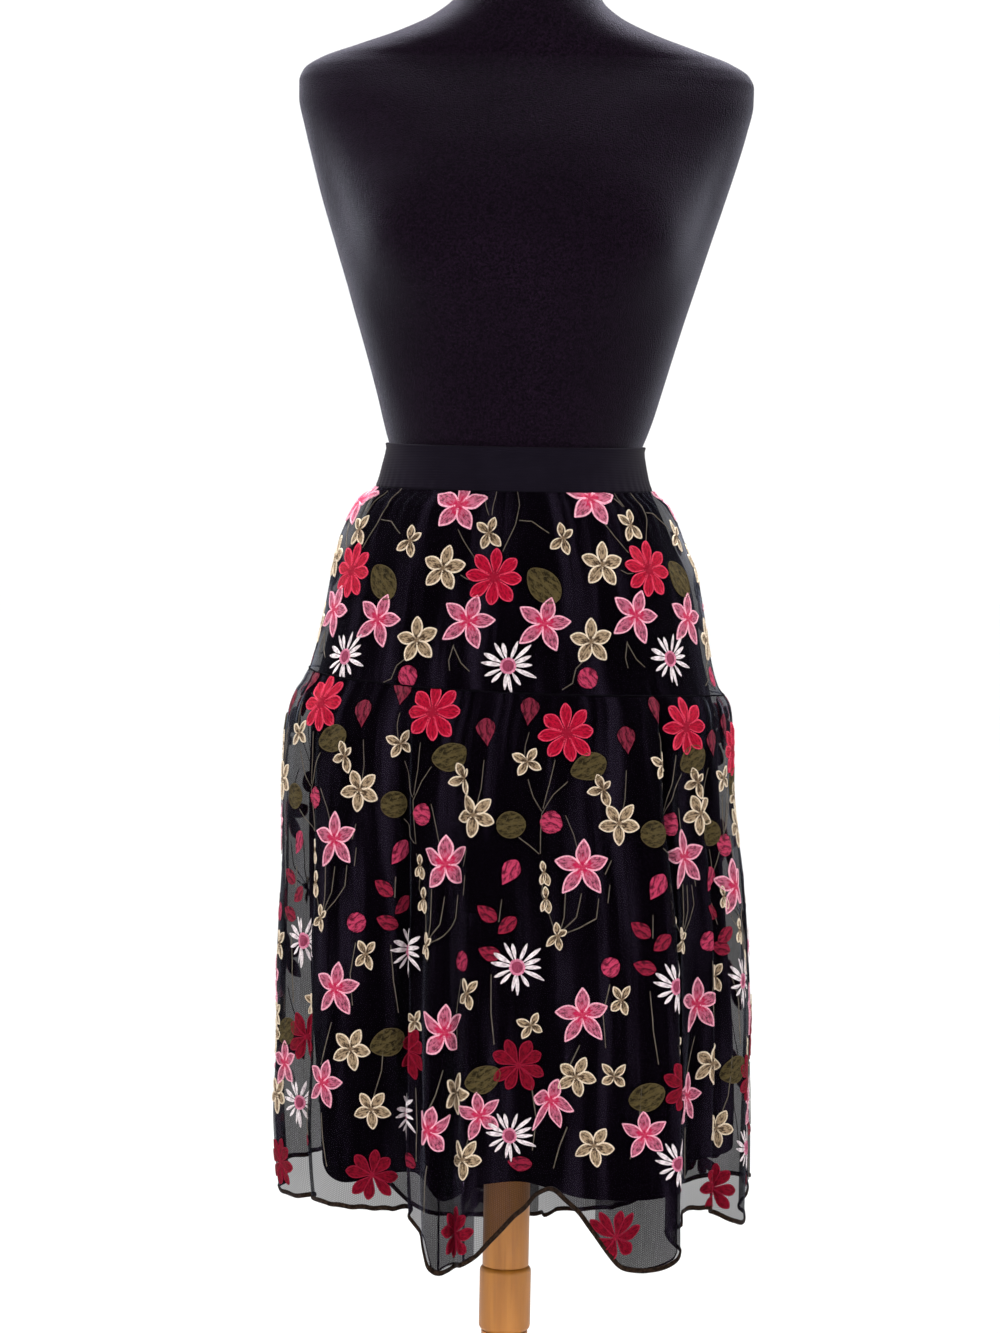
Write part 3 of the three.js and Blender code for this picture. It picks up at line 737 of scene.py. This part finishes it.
def returned_fold(name, side, low, high, start, depth):
    """The layer of net that lies folded back behind a hanging fold, down to its own rolled hem."""
    u = np.linspace(0, 1, 61)[None, :]
    t, angle = u.T, np.linspace(low, high, 61)[None, :] * DEG
    z = start * (1 - t) + (net_hem(angle) + FOLD_LIFT) * t
    tuck = depth * np.sin(math.pi * u) ** 0.6 * np.sin(0.5 * math.pi * t) ** 0.5
    grid = net_point(angle, z)
    grid = grid - normals_of(grid) * (tuck + FOLD_GAP)[..., None]
    span = np.linalg.norm(np.diff(grid[-1], axis=0), axis=1).sum()
    uv = joined(u * span * MM, t * (start - FOLD_END) * MM)
    fold = grid_object(f"{name}_cloth", grid, [net_cloth], uv=uv)
    line = grid[-1] + [0, 0, FOLD_LIFT], normals_of(grid)[-1]
    trims[side] += [fold, cord(f"{name}_hem", line, 0.8, 0.5, rolled_net)]


def sewn(name, piece, across, down, lift, radius, flat):
    """A sewn line over places across and down a panel."""
    points, normal = panels[piece].at(across, down)
    line = cord(name, (points + normal * lift, normal), radius, flat, lining_cloth, 6)
    trims[piece].append(line)


for row in RETURNED_FOLDS:
    returned_fold(*row)

edge, drop = np.linspace(0, 1, 421), np.linspace(0, 1, 121)
for side in ("front", "back"):
    tier, slip = f"tier_{side}", f"lining_{side}"
    points, normal = panels[tier].at(edge, np.ones_like(edge))
    points[:, 2] += 2.0 + 0.5 * np.sin(190 * edge + 3 * np.sin(23 * edge))
    trims[tier].append(cord(f"{tier}_rolled_hem", (points, normal), 2.1, 0.5, rolled_net))
    sewn(f"{tier}_seam", tier, edge, np.zeros_like(edge), 0.3, 0.8, 0.6)
    sewn(f"{slip}_hem_stitching", slip, edge, np.full_like(edge, 0.975), 0.1, 0.5, 0.5)
for piece in ("yoke_front", "tier_front"):
    for share in (0, 1):
        name = f"{piece}_side_seam_{share}"
        sewn(name, piece, np.full_like(drop, share), drop, 0.3, 1.2, 0.5)


# ---- embroidery

# How high a thread's edges stand over the cloth, in a motif's own table.
THREAD_EDGE = 0.15


class Template:
    """A flat motif in millimetres: x to the right, y down, and the height of its threads."""

    def __init__(self):
        self.points, self.faces, self.uv, self.kinds, self.count = [], [], [], [], 0

    def grid(self, x, y, height, u, v, kind, ring=False):
        rows, columns = x.shape
        self.points.append(joined(x, y, height).reshape(-1, 3))
        self.uv.append(joined(u, v).reshape(-1, 2) * THREAD_UV)
        faces = grid_faces(rows, columns, ring, self.count)
        self.faces.append(faces)
        self.kinds.append(np.full(len(faces), SLOTS[kind]))
        self.count += rows * columns

    def cord(self, line, width, height, kind, closed=False):
        """A raised cord along a line of points."""
        line = np.asarray(line, float)
        if closed:
            step = np.roll(line, -1, 0) - np.roll(line, 1, 0)
        else:
            step = np.gradient(line, axis=0)
        step /= np.linalg.norm(step, axis=-1, keepdims=True) + 1e-9
        across = joined(step[:, 1], -step[:, 0])
        offsets = np.array([-0.5, -0.22, 0.22, 0.5]) * width
        spots = line[None] + across[None] * offsets[:, None, None]
        tall = np.array([THREAD_EDGE, height, height, THREAD_EDGE])[:, None]
        along = np.concatenate([[0], np.cumsum(np.linalg.norm(np.diff(line, axis=0), axis=1))])
        u = np.hypot(line[:, 0], line[:, 1])[None, :] + 0 * tall
        v = along[None, :] + 0 * tall
        self.grid(spots[..., 0], spots[..., 1], tall + 0 * u, u, v, kind, closed)

    def petal(self, length, width, turn, skew, tip, kinds, cord,
              base=0.0, lobes=0.0, rise=0.0, rows=9):
        """One petal: a domed fill and a raised outline, with a notched tip where it has lobes.
        A tip above 1 moves its widest place outwards. A skew under 1 makes it blunter."""
        s = 0.5 - 0.5 * np.cos(np.linspace(0.0, math.pi, rows))
        w = np.linspace(-1, 1, 5)
        half = width * np.sin(math.pi * np.clip(s, 0.012, 0.988) ** tip) ** skew
        dent = 1 - lobes * np.exp(-((w[None, :] / 0.45) ** 2)) * s[:, None] ** 7
        x = (base + s[:, None] * length) * dent
        y = half[:, None] * w[None, :]
        c, q = math.cos(turn * DEG), math.sin(turn * DEG)
        swell = 0.4 * (1 - w[None, :] ** 2) * np.sin(math.pi * np.clip(s, 0, 1))[:, None]
        dome = 0.45 + swell + rise
        self.grid(x * c - y * q, x * q + y * c, dome, x, y + turn, kinds[0])
        if cord:
            s = 0.5 - 0.5 * np.cos(np.linspace(0.1, math.pi, 12))
            half = width * np.sin(math.pi * np.clip(s, 0, 0.992) ** tip) ** skew
            side = [(base + a * length, b) for a, b in zip(s, half)]
            notch = [(base + length * (1 - lobes), 0)] if lobes else []
            outline = side + notch + [(a, -b) for a, b in side[::-1]]
            outline = [(a * c - b * q, a * q + b * c) for a, b in outline]
            self.cord(outline, cord, 1.15 + rise, kinds[1])

    def disc(self, radius, height, kind):
        """A flat round patch."""
        turns = circle(16)[None, :]
        r = np.array([radius, radius * 0.92, radius / 2, 0.05])[:, None]
        tall = np.array([THREAD_EDGE, height * 0.8, height, height * 0.85])[:, None]
        self.grid(r * np.sin(turns), r * np.cos(turns), tall + 0 * turns,
                  r + 0 * turns, r * turns, kind, True)

    def done(self):
        return (np.concatenate(self.points), np.concatenate(self.faces),
                np.concatenate(self.uv), np.concatenate(self.kinds))


def flower(petals, length, width, skew, tip, name, cord, spread, lobes=0.0):
    """A flower whose petals differ a little in turn and size."""
    made = Template()
    for k in range(petals):
        turn = 360 * k / petals + rng.uniform(-spread, spread)
        made.petal(length * rng.uniform(0.93, 1.06), width * rng.uniform(0.93, 1.07), turn,
                   skew, tip, (f"{name}_fill", f"{name}_cord"), cord, lobes=lobes, rise=0.02 * k)
    return made.done()


def daisy(petals=14, ring=6.0):
    """Loose white petals round a disc inside a corded ring."""
    made = Template()
    for k in range(petals):
        turn = 360 * k / petals + rng.uniform(-7, 7)
        made.petal(rng.uniform(13, 20.5), rng.uniform(1.6, 2.3), turn, 0.6,
                   rng.uniform(0.9, 1.5), ("white", "white"), 0,
                   base=ring, rise=0.3 + 0.02 * k, rows=7)
    made.disc(5.2, 0.7, "disc")
    around_it = [(ring * math.cos(a), ring * math.sin(a)) for a in circle(20)]
    made.cord(around_it, 2.4, 1.3, "ring", closed=True)
    return made.done()


def small(turns, lengths):
    """A little cream flower of a few petals, each with its own turn and length."""
    made = Template()
    for turn, length in zip(turns, lengths):
        made.petal(length, length * 0.25, turn, 0.75, 1.15, ("cream_fill", "cream_cord"), 1.25,
                   rows=7)
    return made.done()


def oval_leaf(length, width, kind, veins=None, tip=1.0, skew=0.5):
    """A leaf or a bud. Veins names the thread of its outline and its ribs."""
    made = Template()
    made.petal(length, width, 0, skew, tip, (kind, veins), 1.0 if veins else 0, base=-length / 2)
    if veins:
        made.cord([(-length / 2, 0), (0, 0.4), (length * 0.4, 0)], 0.8, 1.1, veins)
        for k in (-0.25, 0, 0.22):
            for side in (-1, 1):
                rib = [(k * length, 0), ((k + 0.16) * length, side * width * 0.62)]
                made.cord(rib, 0.7, 1.05, veins)
    return made.done()


TEMPLATES = {
    "pink": flower(5, 24.5, 5.5, 0.9, 1.05, "pink", 1.6, 7),
    "cream": flower(5, 18.6, 5.0, 0.68, 1.15, "cream", 1.5, 7),
    "red": flower(8, 24.5, 5.1, 0.8, 1.75, "red", 1.25, 6, lobes=0.16),
    # A copy of the red flower in the darker threads of painted shade.
    "deep": flower(8, 24.5, 5.1, 0.8, 1.75, "deep", 1.25, 6, lobes=0.16),
    "daisy": daisy(),
    "small_a": small((-40, -100, 140, 75), (11, 13, 14, 14)),
    "small_b": small((-140, -68, 50, 112), (13, 13.5, 15, 14)),
    "small_c": small((-55, -155, 30, 125), (13, 13.5, 13, 13)),
    "small_d": small((-115, -50, 165, 70), (14, 9, 14, 15)),
    "pair": small((-100, 70, 105), (11, 14, 12)),
    "olive": oval_leaf(32, 11.4, "olive", "olive_line", tip=1.15),
    "round_olive": oval_leaf(24, 11.0, "olive", "olive_line", skew=0.45),
    "bud": oval_leaf(23, 8.2, "bud", tip=1.8, skew=0.65),
    "bright_bud": oval_leaf(24, 8.0, "blossom", tip=1.5, skew=0.65),
    "blossom": oval_leaf(18, 9.2, "blossom", skew=0.45),
    "spray": oval_leaf(20, 6.4, "spray", tip=1.2, skew=0.6),
}

# Where each motif of the cloth's repeat lies: how far right of the repeat's line, in repeats,
# and how far down the tier, as a share; then how it is turned, in degrees, its size, and the
# only repeats it is in, where it isn't in all.
YOKE_CHART = [
    ("daisy", 0, 0.87, 0, 1), ("pink", -0.23, 0.65, -75, 1), ("pink", 0.21, 0.665, -80, 1),
    ("cream", 0.48, 0.76, -98, 1), ("cream", -0.41, 0.385, -85, 1), ("red", -0.08, 0.425, 10, 1),
    ("olive", 0.2, 0.47, 46, 1.1), ("small_a", 0.36, 0.25, 0, 1), ("small_b", -0.12, 0.21, 0, 1),
    ("pink", -0.36, 0.065, 60, 1), ("blossom", 0.45, 0.94, 60, 1),
]
YOKE_STEMS = [
    [(-0.03, 0.30), (0.05, 0.17), (0.08, 0.08), (0.06, -0.02)],
    [(0.075, 0.15), (0.16, 0.155), (0.27, 0.22)],
    [(-0.33, 0.19), (-0.27, 0.26), (-0.2, 0.34)],
    [(-0.29, 0.42), (-0.25, 0.44), (-0.21, 0.44)],
    [(0.43, 0.85), (0.38, 0.89), (0.355, 0.96), (0.29, 0.99)],
    [(-0.3, 0.77), (-0.32, 0.85), (-0.31, 0.9)], [(-0.3, 0.78), (-0.25, 0.86), (-0.2, 0.9)],
    [(-0.13, 0.12), (-0.19, 0.02)], [(-0.11, 0.12), (-0.1, 0.0)],
]
TIER_CHART = [
    ("red", 0, 0.055, 0, 1), ("bud", -0.3, 0.02, -88, 1), ("bud", 0.43, 0.065, -92, 1),
    ("small_c", -0.27, 0.118, 0, 1), ("olive", 0.15, 0.118, -18, 1),
    ("small_d", 0.26, 0.15, 0, 1), ("cream", 0.365, 0.21, -50, 0.95),
    ("blossom", -0.1, 0.238, 20, 1.08), ("round_olive", -0.385, 0.233, 0, 1),
    ("pink", 0.1, 0.307, -97, 1.04), ("bright_bud", -0.4, 0.325, -58, 1),
    ("pair", -0.165, 0.335, 0, 0.85), ("pair", -0.14, 0.395, 10, 0.9),
    ("small_a", -0.06, 0.462, 0, 0.85), ("spray", -0.54, 0.39, 35, 1),
    ("spray", -0.41, 0.425, -40, 1), ("spray", -0.52, 0.46, 20, 1),
    ("blossom", 0.27, 0.465, -30, 0.95), ("daisy", -0.33, 0.507, 10, 1),
    ("small_b", 0.33, 0.52, 20, 0.95), ("small_c", -0.22, 0.632, 0, 0.9),
    ("pink", 0.11, 0.592, -92, 1), ("deep", -0.28, 0.694, 20, 0.95),
    ("small_c", 0.29, 0.66, 15, 0.95, 0, 3), ("cream", 0.24, 0.7, -70, 0.95, 0, 1, 2, 4, 5),
    ("cream", 0.09, 0.718, -70, 0.88, 3), ("olive", 0.48, 0.688, -25, 1),
    ("pink", 0.04, 0.772, -85, 0.9, 0, 1, 2, 4, 5), ("pink", -0.05, 0.796, -80, 0.88, 3),
    ("pink", 0.47, 0.745, -100, 0.86, 0, 2, 3), ("cream", 0.38, 0.812, -60, 0.86, 0, 1, 2, 4),
    ("cream", 0.19, 0.82, -60, 0.9, 3), ("daisy", -0.32, 0.822, 0, 0.92),
    ("spray", -0.25, 0.89, 10, 1), ("deep", 0.32, 0.938, 5, 0.92),
]
TIER_STEMS = [
    [(-0.27, 0.06), (-0.29, 0.085), (-0.29, 0.11)],
    [(-0.26, 0.15), (-0.22, 0.185), (-0.165, 0.215)],
    [(-0.08, 0.11), (-0.11, 0.16), (-0.155, 0.21)], [(0.015, 0.148), (-0.08, 0.18), (-0.165, 0.22)],
    [(-0.165, 0.22), (-0.18, 0.26), (-0.19, 0.3)], [(0.43, 0.115), (0.42, 0.165), (0.39, 0.2)],
    [(0, 0.215), (0.05, 0.25), (0.08, 0.29)], [(-0.33, 0.26), (-0.26, 0.28), (-0.2, 0.3)],
    [(0.3, 0.275), (0.25, 0.305)], [(0.28, 0.32), (0.26, 0.355)], [(-0.45, 0.37), (-0.465, 0.41)],
    [(-0.01, 0.36), (-0.015, 0.42), (-0.04, 0.455)], [(0.09, 0.36), (0.06, 0.41), (-0.02, 0.447)],
    [(0.2, 0.355), (0.18, 0.395), (0.085, 0.427), (-0.055, 0.465)],
    [(-0.19, 0.317), (-0.165, 0.35), (-0.18, 0.38), (-0.135, 0.41), (-0.085, 0.447), (-0.04, 0.49)],
    [(0.26, 0.5), (0.22, 0.56), (0.24, 0.62)], [(0.1, 0.655), (0.06, 0.7), (0.02, 0.74)],
    [(-0.5, 0.5), (-0.49, 0.57), (-0.46, 0.63)], [(0.45, 0.66), (0.44, 0.74), (0.4, 0.79)],
    [(-0.2, 0.75), (-0.16, 0.82), (-0.17, 0.88)], [(0.05, 0.83), (0.02, 0.88), (0.0, 0.93)],
]

# The share across a panel where each repeat's line is, at some places down it, from the top.
FRONT_LINES = {
    0.05: [-0.05, 0.158, 0.369, 0.583, 0.795, 0.951, 1.15],
    0.30: [0.009, 0.191, 0.387, 0.58, 0.782, 0.867, 1.06],
    0.55: [0.019, 0.194, 0.388, 0.573, 0.791, 0.973, 1.17],
    0.70: [0.009, 0.189, 0.388, 0.57, 0.787, 0.973, 1.17],
    0.83: [0.009, 0.188, 0.383, 0.57, 0.779, 0.973, 1.17],
    0.95: [0.027, 0.21, 0.383, 0.563, 0.79, 0.982, 1.18],
}
BACK_LINES = {
    0.0: [-0.14, 0.07, 0.28, 0.49, 0.7, 0.91, 1.12],
    1.0: [-0.12, 0.08, 0.285, 0.49, 0.695, 0.9, 1.11],
}
# What each panel is embroidered with; last, how much lower each repeat lies than charted.
YOKE, TIER = (YOKE_CHART, YOKE_STEMS), (TIER_CHART, TIER_STEMS)
EMBROIDERY = {
    "yoke_front": (*YOKE, {0: [-0.1415, 0.171, 0.485, 0.796, 1.11]}, [0, 0.02, 0, -0.055, 0]),
    "yoke_back": (*YOKE, {0: [-0.04, 0.27, 0.58, 0.89, 1.2]}, [0, -0.02, 0.015, 0, 0]),
    "tier_front": (*TIER, FRONT_LINES, [0, -0.005, -0.01, 0.022, 0, 0.05, 0.05]),
    "tier_back": (*TIER, BACK_LINES, [0, 0.012, -0.01, 0.0, 0.02, -0.008, 0]),
}

# How much a motif may stray across, in repeats, down, as a share, and in its turn; how far
# threads are lifted off the cloth; and half the width and the heights of a stem.
STRAY_ACROSS, STRAY_DOWN, STRAY_TURN = 0.008, 0.004, 5
LIFT = 0.25
STEM_HALF, STEM_HEIGHTS = 0.42, [0.1, 0.75, 0.1]


def locate(lines, drop, x, t):
    """The share across and down a panel for a place on the chart, in repeats."""
    at = [np.interp(t, list(lines), column) for column in np.array(list(lines.values())).T]
    k = np.arange(len(drop))
    return float(np.interp(x, k, at)), float(t + np.interp(x, k, drop))


def embroider(name, laid, chart, stems, lines, drop):
    """Every motif and stem of one panel, bent onto its cloth, as one mesh."""
    points, faces, uvs, kinds, count = [], [], [], [], 0
    repeats = len(drop)
    extent = [laid.width.mean(), laid.drop.mean()]

    def lay(x, y, height, quads, uv, kind):
        """Lay points at shares across and down, without what lies past the edges."""
        nonlocal count
        spot, normal = laid.at(x, y)
        outside = (x < 0.002) | (x > 0.998) | (y < 0.002) | (y > 0.995)
        keep = ~outside[quads].all(axis=1)
        tall = np.where(outside, 0.0, height) + LIFT
        points.append(spot + normal * tall[:, None])
        faces.append(quads[keep] + count)
        uvs.append(uv)
        kinds.append(kind[keep])
        count += len(x)

    for k in range(repeats):
        for motif, dx, dt, turn, size, *only in chart:
            if only and k not in only:
                continue
            x = k + dx + rng.uniform(-STRAY_ACROSS, STRAY_ACROSS)
            t = dt + rng.uniform(-STRAY_DOWN, STRAY_DOWN)
            if not 0 <= x <= repeats - 1:
                continue
            share, t = locate(lines, drop, x, t)
            if not (-0.05 < share < 1.05 and -0.1 < t < 1.1):
                continue
            shape, quads, uv, kind = TEMPLATES[motif]
            turn += rng.uniform(-STRAY_TURN, STRAY_TURN)
            c, s = math.cos(turn * DEG) * size, math.sin(turn * DEG) * size
            px, py = shape[:, 0] * c - shape[:, 1] * s, shape[:, 0] * s + shape[:, 1] * c
            across, along = laid.frame(share, t)
            lay(share + px * across[0] + py * along[0], t + px * across[1] + py * along[1],
                shape[:, 2], quads, uv, kind)
        for line in stems:
            fine = np.linspace(0, len(line) - 1, 6 * (len(line) - 1) + 1)
            x = k + np.interp(fine, range(len(line)), [p[0] for p in line])
            t = np.interp(fine, range(len(line)), [p[1] for p in line])
            if x.min() < 0 or x.max() > repeats - 1:
                continue
            flat = np.array([locate(lines, drop, *place) for place in zip(x, t)]) * extent
            step = np.gradient(flat, axis=0)
            step /= np.linalg.norm(step, axis=1, keepdims=True)
            across = joined(step[:, 1], -step[:, 0])
            rows = [flat + across * o for o in (-STEM_HALF, 0.0, STEM_HALF)]
            spots = np.concatenate(rows) / extent
            quads = grid_faces(3, len(fine))
            high = np.repeat(STEM_HEIGHTS, len(fine))
            along = np.tile(fine * 8, 3)
            uv, kind = joined(along, along) * THREAD_UV, np.full(len(quads), SLOTS["stem"])
            lay(spots[:, 0], spots[:, 1], high, quads, uv, kind)
    return make(name, np.concatenate(points), np.concatenate(faces), list(THREADS.values()),
                np.concatenate(uvs), np.concatenate(kinds))


for name, pattern in EMBROIDERY.items():
    trims[name].append(embroider(f"{name}_embroidery", panels[name], *pattern))


# ---- floor and light

FLOOR_REACH = 60
WORLD_LIGHT = 1.05
# Lights: name, place and target in metres, width in metres, watts and spread.
LIGHTS = [
    ("key", (-1.6, -2.6, 2.2), (0, 0, 0.7), 1.6, 72, 180),
    ("fill", (2.2, -1.6, 1.2), (0, 0, 0.7), 1.6, 26, 180),
    ("left window", (-1.3, 0.9, 2.8), (-0.1, 0, 1.38), 0.7, 6.5, 26),
    ("right window", (1.3, 0.8, 2.8), (0.1, 0, 1.38), 0.7, 4.8, 26),
    ("high window", (0, 0.85, 3.0), (0, 0, 1.42), 0.7, 9, 26),
]


def floor():
    """A wide white floor, far out past the picture's edges."""
    n = Nodes("floor_paint", Roughness=0.9, Specular_IOR_Level=0.1)
    patch = n.ramp(n.noise(n.place(), 2), 0.3, 0.7)
    n.link(n.mix(patch, srgb(251, 251, 251), srgb(252, 252, 252)), "Base Color")
    mesh = bpy.data.meshes.new("floor")
    r = FLOOR_REACH
    mesh.from_pydata([(-r, -r, 0), (r, -r, 0), (r, r, 0), (-r, r, 0)], [], [(0, 1, 2, 3)])
    mesh.materials.append(n.material)
    made = bpy.data.objects.new("floor", mesh)
    scene.collection.objects.link(made)


def light(name, place, target, size, power, spread):
    data = bpy.data.lights.new(name, "AREA")
    data.shape, data.size, data.energy, data.spread = "DISK", size, power, spread * DEG
    lamp = bpy.data.objects.new(name, data)
    lamp.location = place
    lamp.rotation_euler = (Vector(target) - lamp.location).to_track_quat("-Z", "Y").to_euler()
    scene.collection.objects.link(lamp)


floor()
world = bpy.data.worlds.new("world")
world.use_nodes = True
background = world.node_tree.nodes["Background"]
background.inputs["Color"].default_value = (1, 1, 1, 1)
background.inputs["Strength"].default_value = WORLD_LIGHT
scene.world = world
scene.view_settings.view_transform = "Standard"
for row in LIGHTS:
    light(*row)
